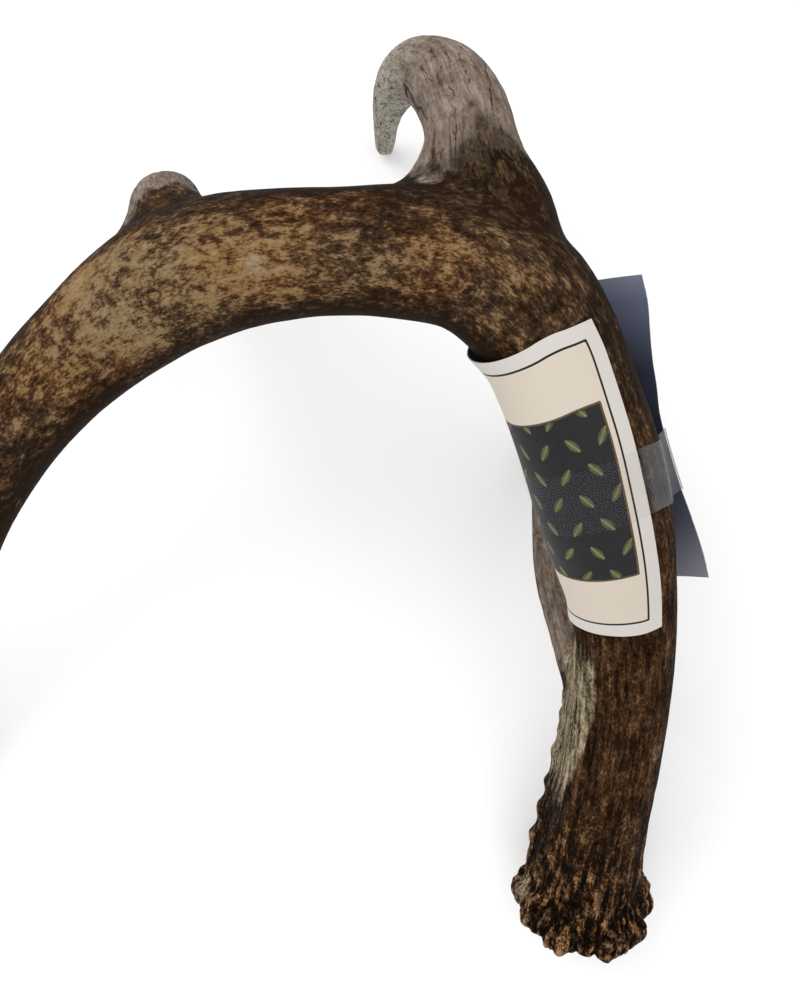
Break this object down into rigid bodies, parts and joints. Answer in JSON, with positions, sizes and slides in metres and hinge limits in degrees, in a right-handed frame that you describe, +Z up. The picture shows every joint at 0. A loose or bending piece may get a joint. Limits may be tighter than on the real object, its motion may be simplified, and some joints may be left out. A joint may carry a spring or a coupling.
{
  "type": "deer antler",
  "caption": "Weathered shed deer antler lying on its tines: a curved beam with brow, back and third tines, a knobbly burr and a card label taped round the beam.",
  "frame": {"origin": "the surface it lies on, under the middle of its bounding box", "axes": "+Z up from the surface, +Y from the burr towards the back tine, +X from the beam's tip towards the burr end"},
  "size_m": [0.2406, 0.2822, 0.1301],
  "materials": {
    "antler": "weathered antler bone: dull, grooved, dark brown at the burr, mottled tan on the beam and grey on the tines",
    "label_card": "thin printed card with a slight sheen",
    "clear_tape": "clear glossy adhesive tape"
  },
  "bodies": {
    "root": {"lower_beam": "antler", "brow_tine": "antler", "middle_beam": "antler", "back_tine": "antler", "upper_beam": "antler", "third_tine": "antler", "beam_tip": "antler", "paper_label": "label_card", "tape_strip": "clear_tape"}
  },
  "joints": []
}
